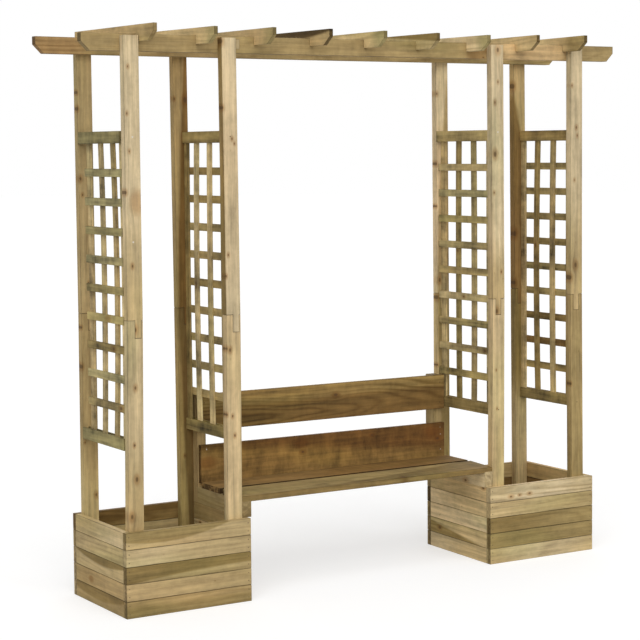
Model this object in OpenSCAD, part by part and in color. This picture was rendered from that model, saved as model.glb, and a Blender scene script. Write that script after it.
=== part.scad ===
// Free-standing timber pergola with two raised planters and a slatted bench between them.
// Units are millimetres, +Z up, X runs from planter to planter, the bench faces -Y.
// The origin lies on the ground under the middle of the bounding box.

/* [Planters] */
// Pitch of the stacked planter boards
board_h = 60; // [45:1:90]
// Thickness of the planter boards
board_t = 23; // [16:1:30]
// Boards stacked in each planter wall
board_rows = 5; // [3:1:8]
// Open seam between two stacked boards
board_seam = 1; // [0.5:0.5:3]
// Outer length of one planter along the pergola
planter_w = 492; // [380:1:700]
// Outer depth of the planters from front to back
planter_d = 447; // [340:1:700]
// Thickness of the planter floor boards
floor_t = 16; // [10:1:24]
// Height of the planter floor above the ground
floor_lift = 30; // [10:1:90]
// Boards laid side by side in each planter floor
floor_boards = 4; // [2:1:8]
// Drain gap between two floor boards
floor_gap = 8; // [4:1:20]

/* [Posts] */
// Width of a post along the pergola
post_w = 58; // [45:1:90]
// Depth of a post from front to back
post_d = 28; // [22:1:60]
// Height of the posts
post_h = 2004; // [1800:1:2400]
// Height of the shoulder where the two lengths of a post meet
joint_z = 1029; // [950:1:1200]
// Length of the tongue that the upper length sends into the lower one
tongue_len = 61; // [30:1:90]
// Width of the tongue
tongue_w = 24; // [14:1:28]
// Cheek on the right of the tongue in the posts at the left end
cheek_left = 6; // [4:1:20]
// Cheek on the right of the tongue in the posts at the right end
cheek_right = 18; // [4:1:22]
// Play around the tongue
joint_play = 0.4; // [0.2:0.1:1]

/* [Beams] */
// Mean reach of a beam past the outer posts
beam_over = 154; // [100:1:320]
// Slip of the front beam to the right and of the back beam to the left
beam_slip = 18; // [0:1:40]
// Height of a beam
beam_h = 60; // [45:1:100]
// Thickness of a beam
beam_t = 28; // [20:1:50]
// Rise of the beam above the post tops
beam_rise = 6; // [0:1:20]
// Bevel at the lower corners of the beam ends
beam_bevel = 32; // [10:1:40]

/* [Rafters] */
// Rafters laid across the beams
rafter_count = 9; // [5:1:15]
// Length of a rafter
rafter_len = 646; // [560:1:900]
// Height of a rafter
rafter_h = 57; // [40:1:90]
// Thickness of a rafter
rafter_t = 15; // [10:1:30]
// Depth of the notch that sits over a beam
rafter_notch = 29; // [10:1:35]
// Play of the notch on each side of the beam
notch_play = 0.5; // [0.2:0.1:2]
// Run of the bevel at the rafter ends
rafter_bevel_run = 42; // [10:1:80]
// Rise of the bevel at the rafter ends
rafter_bevel_rise = 30; // [10:1:38]
// Offset of the rafters to the back of the posts
rafter_shift = 14; // [-20:1:20]
// Clear space between an outer post and the rafter beside it
rafter_space = 10; // [4:1:40]

/* [Trellis] */
// Height of the lower trellis rail above the ground
trellis_low = 577; // [480:1:800]
// Height of a trellis panel
trellis_h = 1102; // [800:1:1250]
// Height of a trellis rail
rail_h = 42; // [30:1:60]
// Thickness of a trellis rail
rail_t = 28; // [24:1:44]
// Depth of the groove that holds the laths
groove_d = 10; // [5:1:15]
// Width of a trellis lath
lath_w = 28; // [15:1:35]
// Thickness of a trellis lath
lath_t = 9; // [6:0.5:11]
// Depth to which crossing laths are let into each other
lath_lap = 2; // [1:0.5:4]
// Rows of openings in a panel
trellis_rows = 10; // [6:1:14]
// Columns of openings in a panel
trellis_cols = 3; // [2:1:5]
// Length that the level laths run past the last upright lath
lath_over = 6; // [0:1:20]
// Slip of the lath field to the back in the left outer panel
slip_left_outer = -41; // [-50:1:50]
// Slip of the lath field to the back in the left inner panel
slip_left_inner = 33; // [-50:1:50]
// Slip of the lath field to the back in the right inner panel
slip_right_inner = -7.5; // [-50:0.5:50]
// Slip of the lath field to the back in the right outer panel
slip_right_outer = 19; // [-50:1:50]

/* [Bench] */
// Clear space between the two planters
bench_gap = 1064; // [800:1:1500]
// Thickness of the seat supports and the back uprights
bearer_t = 38; // [26:1:50]
// Depth of a back upright
upright_d = 58; // [45:1:80]
// Width of a seat board
seat_w = 145; // [110:1:160]
// Thickness of a seat board
seat_t = 21; // [16:1:30]
// Gap between the two seat boards
seat_gap = 20; // [4:1:30]
// Height of a back board
back_h = 136; // [100:1:160]
// Thickness of a back board
back_t = 18; // [14:1:24]
// Drop of the lower back board below the seat top
back_drop = 7; // [0:1:12]
// Gap between the two back boards
back_gap = 57; // [20:1:90]

/* [Hidden] */
eps = 0.01;
// reach of a cut past the timber, and of a tongue into its own stem
past = 1;
// outer and inner faces of the planters, measured from the middle of the bench
inner_x = bench_gap / 2;
outer_x = inner_x + planter_w;
// front and back faces of the planters, the rafters are centred on y = 0
front_y = -rafter_shift - planter_d / 2;
back_y = -rafter_shift + planter_d / 2;
mid_y = -rafter_shift;
planter_h = board_rows * board_h;
// faces of the posts
post_in_x = inner_x + board_t;
post_out_x = outer_x - board_t;
post_front_y = front_y + board_t;
post_back_y = back_y - board_t;
span_y = post_back_y - post_front_y - 2 * post_d;
// place of the tongue, measured from the left edge of a post
tongue_left_x = post_w - tongue_w - cheek_left;
tongue_right_x = post_w - tongue_w - cheek_right;
// heights of the roof
beam_top = post_h + beam_rise;
rafter_low = beam_top - rafter_notch;
// roof layout
first_rafter_x = post_out_x - post_w - rafter_space - rafter_t / 2;
rafter_pitch = 2 * first_rafter_x / (rafter_count - 1);
beam_len = 2 * (post_out_x + beam_over);
beam_front_y = post_front_y + post_d;
beam_back_y = post_back_y - post_d - beam_t;
// trellis layout
lath_layer = 2 * lath_t - lath_lap;
groove_in = (rail_t - lath_layer) / 2;
field_h = trellis_h - 2 * rail_h;
row_pitch = field_h / trellis_rows;
col_pitch = min(row_pitch, (span_y - lath_w) / trellis_cols);
// front edge of upright lath c, measured from the middle of the panel and kept between the posts
function lath_y(c, slip) = max(
  -span_y / 2,
  min(span_y / 2 - lath_w, (c - trellis_cols / 2) * col_pitch - lath_w / 2 + slip)
);
// bench layout
support_top = planter_h + board_h;
seat_top = support_top + seat_t;
upright_front_y = post_back_y - upright_d;
back_low = seat_top - back_drop;
back_high = back_low + back_h + back_gap;
upright_top = back_high + back_h;
bench_len = 2 * post_in_x;
// planter floor layout
floor_w = planter_w - 2 * board_t;
floor_room = span_y;
floor_board_w = (floor_room - (floor_boards - 1) * floor_gap) / floor_boards;
// colours
post_tan = [0.70, 0.60, 0.44];
board_tan = [0.66, 0.58, 0.42];
roof_tan = [0.64, 0.56, 0.40];
lath_tan = [0.55, 0.49, 0.34];
bench_brown = [0.47, 0.34, 0.20];

// lower length of a post, with the slot for the tongue in its head
module post_foot(tongue_x) {
  difference() {
    cube([post_w, post_d, joint_z]);
    translate([tongue_x - joint_play, -past, joint_z - tongue_len - joint_play])
      cube([tongue_w + 2 * joint_play, post_d + 2 * past, tongue_len + joint_play + past]);
  }
}

// upper length of a post, with the tongue below its shoulder
module post_head(tongue_x) {
  union() {
    translate([0, 0, joint_z + joint_play])
      cube([post_w, post_d, post_h - joint_z - joint_play]);
    translate([tongue_x, 0, joint_z - tongue_len])
      cube([tongue_w, post_d, tongue_len + joint_play + past]);
  }
}

// one post standing on the ground, its left front corner at x, y
module post_at(x, y, tongue_x) {
  color(post_tan)
    translate([x, y, 0]) {
      post_foot(tongue_x);
      post_head(tongue_x);
    }
}

// beam profile with bevelled lower corners, drawn along X and Z, slipped along X
module beam_at(y, slip) {
  half = beam_len / 2;
  color(roof_tan)
    translate([slip, y + beam_t, beam_top - beam_h])
      rotate([90, 0, 0])
        linear_extrude(height = beam_t)
          polygon([
            [-half + beam_bevel, 0], [half - beam_bevel, 0], [half, beam_bevel],
            [half, beam_h], [-half, beam_h], [-half, beam_bevel]
          ]);
}

// room in a rafter for one beam
module beam_notch(y) {
  translate([y - notch_play, -eps])
    square([beam_t + 2 * notch_play, rafter_notch + eps]);
}

// rafter number i, counted from the left
module rafter_at(i) {
  x = -first_rafter_x + (i - 1) * rafter_pitch;
  y0 = -rafter_len / 2;
  y1 = rafter_len / 2;
  color(roof_tan)
    translate([x - rafter_t / 2, 0, rafter_low])
      rotate([90, 0, 90])
        linear_extrude(height = rafter_t)
          difference() {
            polygon([
              [y0 + rafter_bevel_run, 0], [y1 - rafter_bevel_run, 0], [y1, rafter_bevel_rise],
              [y1, rafter_h], [y0, rafter_h], [y0, rafter_bevel_rise]
            ]);
            beam_notch(beam_front_y);
            beam_notch(beam_back_y);
          }
}

// grooved rail, the groove opens upwards
module rail() {
  difference() {
    translate([0, -span_y / 2, 0])
      cube([rail_t, span_y, rail_h]);
    translate([groove_in, -span_y / 2 - past, rail_h - groove_d])
      cube([lath_layer, span_y + 2 * past, groove_d + past]);
  }
}

// trellis panel, its outward face in the plane x = 0 and its body towards +X
module trellis(slip) {
  lath_len = field_h + 2 * groove_d;
  level_y0 = max(-span_y / 2, lath_y(0, slip) - lath_over);
  level_y1 = min(span_y / 2, lath_y(trellis_cols, slip) + lath_w + lath_over);
  color(lath_tan)
    translate([0, mid_y, trellis_low])
      union() {
        rail();
        translate([0, 0, trellis_h])
          mirror([0, 0, 1])
            rail();
        for (c = [0 : trellis_cols])
          translate([groove_in + lath_t - lath_lap, lath_y(c, slip), rail_h - groove_d])
            cube([lath_t, lath_w, lath_len]);
        for (r = [1 : trellis_rows - 1])
          translate([groove_in, level_y0, rail_h + r * row_pitch - lath_w / 2])
            cube([lath_t, level_y1 - level_y0, lath_w]);
      }
}

// stack of boards of one planter wall, from x, y with the plan size w, d
module wall_at(x, y, w, d) {
  color(board_tan)
    for (k = [0 : board_rows - 1])
      translate([x, y, k * board_h])
        cube([w, d, board_h - board_seam]);
}

// front or back wall of the planter whose left face is at x
module long_wall(x, y) {
  wall_at(x, y, planter_w, board_t);
}

// side wall between the front and the back boards
module side_wall(x) {
  wall_at(x, front_y + board_t, board_t, planter_d - 2 * board_t);
}

// floor boards between the two side walls
module floor_at(x) {
  color(board_tan)
    for (k = [0 : floor_boards - 1])
      translate([x + board_t, mid_y - floor_room / 2 + k * (floor_board_w + floor_gap), floor_lift])
        cube([floor_w, floor_board_w, floor_t]);
}

// seat support on top of an inner planter wall
module support_at(x) {
  color(board_tan)
    translate([x, post_front_y, planter_h - board_seam])
      cube([bearer_t, upright_front_y - post_front_y, board_h + board_seam]);
}

// upright that carries the back boards
module upright_at(x) {
  color(board_tan)
    translate([x, upright_front_y, planter_h - board_seam])
      cube([bearer_t, upright_d, upright_top - planter_h + board_seam]);
}

// seat board whose front edge is at y
module seat_board_at(y) {
  color(bench_brown)
    translate([-bench_len / 2, y, support_top])
      cube([bench_len, seat_w, seat_t]);
}

// back board whose lower edge is at z
module back_board_at(z) {
  color(bench_brown)
    translate([-bench_len / 2, upright_front_y - back_t, z])
      cube([bench_len, back_t, back_h]);
}

module post_left_outer_back() { post_at(-post_out_x, post_back_y - post_d, tongue_left_x); }
module post_left_outer_front() { post_at(-post_out_x, post_front_y, tongue_left_x); }
module post_left_inner_back() { post_at(-post_in_x - post_w, post_back_y - post_d, tongue_left_x); }
module post_left_inner_front() { post_at(-post_in_x - post_w, post_front_y, tongue_left_x); }
module post_right_inner_back() { post_at(post_in_x, post_back_y - post_d, tongue_right_x); }
module post_right_inner_front() { post_at(post_in_x, post_front_y, tongue_right_x); }
module post_right_outer_back() { post_at(post_out_x - post_w, post_back_y - post_d, tongue_right_x); }
module post_right_outer_front() { post_at(post_out_x - post_w, post_front_y, tongue_right_x); }
module beam_front() { beam_at(beam_front_y, beam_slip); }
module beam_back() { beam_at(beam_back_y, -beam_slip); }
module rafter_1() { rafter_at(1); }
module rafter_2() { rafter_at(2); }
module rafter_3() { rafter_at(3); }
module rafter_4() { rafter_at(4); }
module rafter_5() { rafter_at(5); }
module rafter_6() { rafter_at(6); }
module rafter_7() { rafter_at(7); }
module rafter_8() { rafter_at(8); }
module rafter_9() { rafter_at(9); }
module trellis_left_outer() { translate([-post_out_x, 0, 0]) trellis(slip_left_outer); }
module trellis_left_inner() { translate([-post_in_x, 0, 0]) mirror([1, 0, 0]) trellis(slip_left_inner); }
module trellis_right_inner() { translate([post_in_x, 0, 0]) trellis(slip_right_inner); }
module trellis_right_outer() { translate([post_out_x, 0, 0]) mirror([1, 0, 0]) trellis(slip_right_outer); }
module planter_left_front() { long_wall(-outer_x, front_y); }
module planter_left_back() { long_wall(-outer_x, back_y - board_t); }
module planter_left_outer_side() { side_wall(-outer_x); }
module planter_left_inner_side() { side_wall(-inner_x - board_t); }
module planter_left_floor() { floor_at(-outer_x); }
module planter_right_front() { long_wall(inner_x, front_y); }
module planter_right_back() { long_wall(inner_x, back_y - board_t); }
module planter_right_outer_side() { side_wall(outer_x - board_t); }
module planter_right_inner_side() { side_wall(inner_x); }
module planter_right_floor() { floor_at(inner_x); }
module seat_support_left() { support_at(-post_in_x); }
module seat_support_right() { support_at(post_in_x - bearer_t); }
module seat_board_front() { seat_board_at(post_front_y); }
module seat_board_back() { seat_board_at(post_front_y + seat_w + seat_gap); }
module back_upright_left() { upright_at(-post_in_x); }
module back_upright_right() { upright_at(post_in_x - bearer_t); }
module back_board_lower() { back_board_at(back_low); }
module back_board_upper() { back_board_at(back_high); }

post_left_outer_back();
post_left_outer_front();
post_left_inner_back();
post_left_inner_front();
post_right_inner_back();
post_right_inner_front();
post_right_outer_back();
post_right_outer_front();
beam_front();
beam_back();
rafter_1();
rafter_2();
rafter_3();
rafter_4();
rafter_5();
rafter_6();
rafter_7();
rafter_8();
rafter_9();
trellis_left_outer();
trellis_left_inner();
trellis_right_inner();
trellis_right_outer();
planter_left_front();
planter_left_back();
planter_left_outer_side();
planter_left_inner_side();
planter_left_floor();
planter_right_front();
planter_right_back();
planter_right_outer_side();
planter_right_inner_side();
planter_right_floor();
seat_support_left();
seat_support_right();
seat_board_front();
seat_board_back();
back_upright_left();
back_upright_right();
back_board_lower();
back_board_upper();
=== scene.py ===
"""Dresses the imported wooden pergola. Every board is built again with eased edges, a slight bow and its
own lean, and carries what its wood material reads: grain direction, tones, knots and end grain."""
import math
import random

import bmesh
import bpy
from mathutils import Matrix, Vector

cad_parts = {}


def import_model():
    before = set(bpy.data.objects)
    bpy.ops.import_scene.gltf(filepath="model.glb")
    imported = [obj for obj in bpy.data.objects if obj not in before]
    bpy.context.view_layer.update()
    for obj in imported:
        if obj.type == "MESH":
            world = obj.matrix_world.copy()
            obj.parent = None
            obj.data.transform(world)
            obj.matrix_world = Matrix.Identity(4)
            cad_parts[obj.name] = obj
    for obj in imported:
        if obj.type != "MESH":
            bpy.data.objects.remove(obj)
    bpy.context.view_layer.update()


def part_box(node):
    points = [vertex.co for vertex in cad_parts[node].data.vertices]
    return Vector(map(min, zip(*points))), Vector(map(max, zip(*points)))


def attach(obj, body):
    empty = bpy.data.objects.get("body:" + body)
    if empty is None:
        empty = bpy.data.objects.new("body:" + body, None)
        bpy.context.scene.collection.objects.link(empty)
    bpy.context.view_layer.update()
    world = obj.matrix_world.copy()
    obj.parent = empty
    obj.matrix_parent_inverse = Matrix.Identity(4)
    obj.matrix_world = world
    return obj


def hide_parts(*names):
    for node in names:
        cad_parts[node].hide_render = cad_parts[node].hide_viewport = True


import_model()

# Sizes are in mm and turned into metres where a mesh is made
MM = 0.001

# Timber tones, as sRGB 0-255, named for what they look like
TONES = {
    "cream": (205, 185, 147),
    "pale": (195, 174, 133),
    "straw": (185, 162, 117),
    "corn": (207, 175, 126),
    "tan": (174, 151, 106),
    "sand": (163, 140, 95),
    "olive": (151, 130, 84),
    "moss": (139, 117, 71),
    "honey": (148, 121, 72),
    "amber": (130, 100, 54),
    "bark": (124, 103, 62),
    "nut": (127, 101, 60),
    "brown": (116, 89, 48),
    "mahogany": (103, 72, 35),
    "umber": (100, 80, 45),
    "peat": (84, 67, 38),
    "clay": (166, 130, 88),
    "sage": (153, 139, 95),
    "ash": (137, 123, 80),
}


def linear(c):
    """An sRGB value, 0-255, as a linear one, 0-1."""
    c = c / 255
    return c / 12.92 if c <= 0.04045 else ((c + 0.055) / 1.055) ** 2.4


def tone(name, lift):
    """A tone made lighter or darker by a factor, as a shader colour."""
    return tuple(min(1.0, linear(c) * lift) for c in TONES[name]) + (1.0,)


def box(name):
    """Corners of a CAD node in mm."""
    lo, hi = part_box(name)
    return [c / MM for c in lo], [c / MM for c in hi]


def along(pairs, u):
    """Value at u of a line through (place, value) pairs."""
    if u <= pairs[0][0]:
        return pairs[0][1]
    for (u0, d0), (u1, d1) in zip(pairs, pairs[1:]):
        if u <= u1:
            return d0 + (d1 - d0) * (u - u0) / (u1 - u0)
    return pairs[-1][1]


# Meshes


class Piece:
    """Boards gathered into one object that stands for the CAD node of its name, with what the wood
    material needs at each vertex."""

    KNOTS = ("k1", "k2", "k3", "k4", "k5", "k6", "k7")
    VECTORS = ("gco", "gno", "band", "misc") + KNOTS
    COLORS = ("tone_a", "tone_b")
    # a knot far off the board, for places that hold none
    NO_KNOT = (-9.0, -9.0, 0.001)
    # how squarely a face looks along the grain to be an end or a bevel, or along the given side to get
    # painted shade
    END_FACE = 0.95
    BEVEL_FACE = 0.5
    SHADED_FACE = 0.7
    SHARP_ANGLE = math.radians(42)

    def __init__(self, name, slot):
        self.name, self.slot = name, slot
        self.verts, self.faces, self.flags = [], [], []
        self.data = {key: [] for key in self.VECTORS + self.COLORS}

    def take(self, bm, rest, grain, lo, hi, tones, band, knots, figure, seed, end, dirt):
        """Adds the mesh of one board. rest holds its vertices before they were bent, grain its axes."""
        base = len(self.verts)
        spots = [(u * MM, v * MM, r * MM) for u, v, r in knots]
        spots += [self.NO_KNOT] * (len(self.KNOTS) - len(spots))
        for vert, co in zip(bm.verts, rest):
            self.verts.append(tuple(vert.co))
            self.data["gco"].append(tuple(co[i] - lo[i] for i in grain))
            self.data["gno"].append(tuple((co[i] - lo[i]) / (hi[i] - lo[i]) for i in grain))
            self.data["band"].append(band[:3])
            self.data["misc"].append((band[3], seed, figure))
            for key, spot in zip(self.KNOTS, spots):
                self.data[key].append(spot)
            self.data["tone_a"].append(tones[0])
            self.data["tone_b"].append(tones[1])
        for face in bm.faces:
            self.faces.append([base + v.index for v in face.verts])
            across = abs(face.normal[grain[0]])
            sawn = end[0] if across > self.END_FACE else end[1] if across > self.BEVEL_FACE else 0.0
            # painted shade: a face that looks along the given side is marked to be darkened, as deep in a
            # narrow gap
            dirty = 1.0 if dirt and face.normal.dot(Vector(dirt)) > self.SHADED_FACE else 0.0
            self.flags.append((sawn, float(face.material_index), dirty))
        bm.free()

    def done(self, material):
        """Makes the object, in place of its CAD node."""
        mesh = bpy.data.meshes.new(self.name)
        mesh.from_pydata(self.verts, [], self.faces)
        for key in self.VECTORS:
            layer = mesh.attributes.new(key, "FLOAT_VECTOR", "POINT")
            layer.data.foreach_set("vector", [c for row in self.data[key] for c in row])
        for key in self.COLORS:
            layer = mesh.attributes.new(key, "FLOAT_COLOR", "POINT")
            layer.data.foreach_set("color", [c for row in self.data[key] for c in row])
        layer = mesh.attributes.new("flag", "FLOAT_VECTOR", "FACE")
        layer.data.foreach_set("vector", [c for row in self.flags for c in row])
        mesh.shade_smooth()
        mesh.set_sharp_from_angle(angle=self.SHARP_ANGLE)
        mesh.materials.append(material)
        obj = bpy.data.objects.new(self.name, mesh)
        bpy.context.scene.collection.objects.link(obj)
        normals = obj.modifiers.new("normals", "WEIGHTED_NORMAL")
        normals.keep_sharp = True
        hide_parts(self.name)
        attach(obj, "root")


SEED_STEP = 7919
EDGE_STEPS = 2
EDGE_PROFILE = 0.6
# metres between the cuts along a bent board and a straight one
BENT_CUT = 0.1
STRAIGHT_CUT = 0.24
# waves of a board's bow, across and through the grain, in radians from end to end
WAVE_ACROSS = 3.1
WAVE_THROUGH = 4.3
LAST_PHASE = 6.3
TONE_SPREAD = 0.03
LAST_SEED = 40
boards_made = 0


def prism(piece, outline, plane, span, grain, a, b=None, band=(0, 0, 0, -3), knots=(), figure=1.0,
          r=1.6, end=(0.55, 0.55), bow=0.35, bend=(), slant=(), lift=1.0, dirt=()):
    """A board from its outline in the plane of two axes, drawn over a span of the third, in mm.

    grain names the axes along, across and through the grain. Tone a turns to tone b where band
    (slope along, slope across, square along, start) is over zero. bend moves the board across the
    grain by (place, shift) pairs, and slant moves it through the grain. end is how dark the sawn ends
    and the bevels are, r the radius of the eased edges, and the last argument the side whose faces
    get painted shade, as deep in a narrow gap."""
    global boards_made
    boards_made += 1
    rng = random.Random(boards_made * SEED_STEP)
    p, q = plane
    iu, iv, iw = grain

    def at(u, v, w):
        co = [0.0, 0.0, 0.0]
        co[p], co[q], co[3 - p - q] = u * MM, v * MM, w * MM
        return co

    bm = bmesh.new()
    low = [bm.verts.new(at(u, v, span[0])) for u, v in outline]
    top = [bm.verts.new(at(u, v, span[1])) for u, v in outline]
    bm.faces.new(low)
    bm.faces.new(list(reversed(top)))
    for i in range(len(outline)):
        j = (i + 1) % len(outline)
        bm.faces.new((low[j], low[i], top[i], top[j]))
    lo = [min(v.co[i] for v in bm.verts) for i in range(3)]
    hi = [max(v.co[i] for v in bm.verts) for i in range(3)]
    bmesh.ops.recalc_face_normals(bm, faces=bm.faces[:])
    bmesh.ops.bevel(bm, geom=bm.edges[:], offset=r * MM, segments=EDGE_STEPS, profile=EDGE_PROFILE,
                    affect="EDGES", clamp_overlap=True, material=1)
    length = hi[iu] - lo[iu]
    steps = max(1, int(length / (BENT_CUT if bend else STRAIGHT_CUT)))
    normal = [0.0, 0.0, 0.0]
    normal[iu] = 1.0
    for n in range(1, steps):
        cut = [0.0, 0.0, 0.0]
        cut[iu] = lo[iu] + length * n / steps
        bmesh.ops.bisect_plane(bm, geom=bm.verts[:] + bm.edges[:] + bm.faces[:], plane_co=cut,
                               plane_no=normal, dist=1e-6)
    bm.normal_update()
    bm.verts.index_update()
    rest = [vert.co.copy() for vert in bm.verts]
    sway = [(rng.uniform(-1, 1), rng.uniform(0, LAST_PHASE)) for _ in range(2)]
    for vert, co in zip(bm.verts, rest):
        t = min(max((co[iu] - lo[iu]) / length, 0.0), 1.0)
        ease = bow * math.sin(math.pi * t)
        shift = along(bend, co[iu] / MM) if bend else 0.0
        vert.co[iv] += MM * (shift + ease * sway[0][0] * math.sin(WAVE_ACROSS * t + sway[0][1]))
        aside = along(slant, co[iu] / MM) if slant else 0.0
        vert.co[iw] += MM * (aside + ease * sway[1][0] * math.sin(WAVE_THROUGH * t + sway[1][1]))
    near = lift * rng.uniform(1 - TONE_SPREAD, 1 + TONE_SPREAD)
    piece.take(bm, rest, grain, lo, hi, (tone(a, near), tone(b or a, near)), band, knots, figure,
               rng.uniform(0, LAST_SEED), end, dirt)


def board(piece, lo, hi, iu, a, b=None, **extra):
    """A plain board between two corners, in mm, with its grain along axis iu."""
    iw, iv = sorted((i for i in range(3) if i != iu), key=lambda i: hi[i] - lo[i])
    outline = [(lo[iu], lo[iv]), (hi[iu], lo[iv]), (hi[iu], hi[iv]), (lo[iu], hi[iv])]
    prism(piece, outline, (iu, iv), (lo[iw], hi[iw]), (iu, iv, iw), a, b, **extra)


class Screws:
    """Countersunk screw heads set just proud of the timber."""

    # radius and rise of each ring from the middle out, in mm
    RINGS = ((0.0, -0.5), (0.9, -0.5), (1.25, 0.15), (2.3, 0.3), (2.9, 0.12), (3.1, -0.5))
    SIDES = 12

    def __init__(self, name, slot):
        self.name, self.slot = name, slot
        self.bm = bmesh.new()

    def add(self, co, normal, size=1.0):
        """Adds a head at a place in mm that looks along the normal."""
        n = Vector(normal)
        side = n.orthogonal().normalized()
        up = n.cross(side)
        turns = [2 * math.pi * k / self.SIDES for k in range(self.SIDES)]
        rows = []
        for radius, rise in self.RINGS:
            middle = (Vector(co) + n * rise) * MM
            if radius == 0.0:
                hub = self.bm.verts.new(middle)
                continue
            ring = [(side * math.cos(t) + up * math.sin(t)) * radius * size * MM for t in turns]
            rows.append([self.bm.verts.new(middle + arm) for arm in ring])
        for k in range(self.SIDES):
            j = (k + 1) % self.SIDES
            self.bm.faces.new((hub, rows[0][k], rows[0][j]))
            for inner, outer in zip(rows, rows[1:]):
                self.bm.faces.new((inner[k], outer[k], outer[j], inner[j]))

    def done(self, material):
        """Makes the object."""
        bmesh.ops.recalc_face_normals(self.bm, faces=self.bm.faces[:])
        mesh = bpy.data.meshes.new(self.name)
        self.bm.to_mesh(mesh)
        self.bm.free()
        mesh.materials.append(material)
        obj = bpy.data.objects.new(self.name, mesh)
        bpy.context.scene.collection.objects.link(obj)
        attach(obj, "root")


# Materials


class Graph:
    """Short calls for shader nodes."""

    def __init__(self, name):
        self.mat = bpy.data.materials.new(name)
        self.mat.use_nodes = True
        self.tree = self.mat.node_tree
        self.tree.nodes.clear()

    def put(self, socket, value):
        """Links a socket to another one, or sets it to a constant."""
        if isinstance(value, bpy.types.NodeSocket):
            self.tree.links.new(value, socket)
        else:
            socket.default_value = value

    def attr(self, name):
        node = self.tree.nodes.new("ShaderNodeAttribute")
        node.attribute_name = name
        return node.outputs

    def math(self, op, *values):
        node = self.tree.nodes.new("ShaderNodeMath")
        node.operation = op
        for socket, value in zip(node.inputs, values):
            self.put(socket, value)
        return node.outputs[0]

    def add(self, first, *others):
        for other in others:
            first = self.math("ADD", first, other)
        return first

    def times(self, first, *others):
        for other in others:
            first = self.math("MULTIPLY", first, other)
        return first

    def swing(self, value, depth):
        """A noise value turned into a swing about zero."""
        return self.times(self.math("SUBTRACT", value, 0.5), depth)

    def vec(self, op, *values):
        node = self.tree.nodes.new("ShaderNodeVectorMath")
        node.operation = op
        for socket, value in zip(node.inputs, values):
            self.put(socket, value)
        return node.outputs["Value"] if op == "LENGTH" else node.outputs[0]

    def scale(self, vector, factor):
        node = self.tree.nodes.new("ShaderNodeVectorMath")
        node.operation = "SCALE"
        self.put(node.inputs[0], vector)
        self.put(node.inputs["Scale"], factor)
        return node.outputs[0]

    def split(self, vector):
        node = self.tree.nodes.new("ShaderNodeSeparateXYZ")
        self.put(node.inputs[0], vector)
        return node.outputs

    def join(self, x, y, z):
        node = self.tree.nodes.new("ShaderNodeCombineXYZ")
        for socket, value in zip(node.inputs, (x, y, z)):
            self.put(socket, value)
        return node.outputs[0]

    def noise(self, vector, stretch, detail, rough=0.5):
        """Noise whose stretch says how close it stands along each axis, per metre."""
        node = self.tree.nodes.new("ShaderNodeTexNoise")
        self.put(node.inputs["Vector"], self.vec("MULTIPLY", vector, stretch))
        node.inputs["Scale"].default_value = 1.0
        node.inputs["Detail"].default_value = detail
        node.inputs["Roughness"].default_value = rough
        return node.outputs[0]

    def ease(self, value, low, high, to_low=0.0, to_high=1.0):
        """A smooth step from to_low to to_high, as the value goes from low to high."""
        node = self.tree.nodes.new("ShaderNodeMapRange")
        node.interpolation_type = "SMOOTHSTEP"
        for socket, item in zip(node.inputs, (value, low, high, to_low, to_high)):
            self.put(socket, item)
        return node.outputs[0]

    def mix(self, factor, a, b):
        node = self.tree.nodes.new("ShaderNodeMix")
        node.data_type = "RGBA"
        self.put(node.inputs[0], factor)
        self.put(node.inputs[6], a)
        self.put(node.inputs[7], b)
        return node.outputs[2]

    def stain(self, color, factor, by):
        """The colour, turned towards itself times a tint."""
        return self.mix(factor, color, self.vec("MULTIPLY", color, by))

    def bump(self, height, strength, distance):
        node = self.tree.nodes.new("ShaderNodeBump")
        node.inputs["Strength"].default_value = strength
        node.inputs["Distance"].default_value = distance
        self.put(node.inputs["Height"], height)
        return node.outputs[0]

    def surface(self, **sockets):
        """Ends the graph with a principled surface. Words in a socket's name are joined by _."""
        node = self.tree.nodes.new("ShaderNodeBsdfPrincipled")
        for key, value in sockets.items():
            self.put(node.inputs[key.replace("_", " ")], value)
        out = self.tree.nodes.new("ShaderNodeOutputMaterial")
        self.tree.links.new(node.outputs[0], out.inputs[0])
        return self.mat


# Tints that the colour of the wood is turned towards
LATE_WOOD = (0.58, 0.53, 0.44)
DAMP = (0.90, 0.97, 0.86)
WARM = (1.05, 0.98, 0.93)
SPECK = (0.55, 0.45, 0.35)
CHECK = (0.45, 0.40, 0.34)
KNOT_HALO = (0.64, 0.46, 0.31)
SAWN_END = (0.19, 0.16, 0.095)
# painted shade, for faces deep in a narrow gap
GAP_SHADE = (0.20, 0.18, 0.16)
NO_TINT = (1.0, 1.0, 1.0)
KNOT_HEART = (0.075, 0.042, 0.018, 1.0)
# the heart of the tree behind sawn ends, in metres, and how close its rings stand there
END_HEART = (0.0, 0.03, -0.02)
END_RINGS = 1900.0
FULL_TURN = 6.2832


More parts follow.
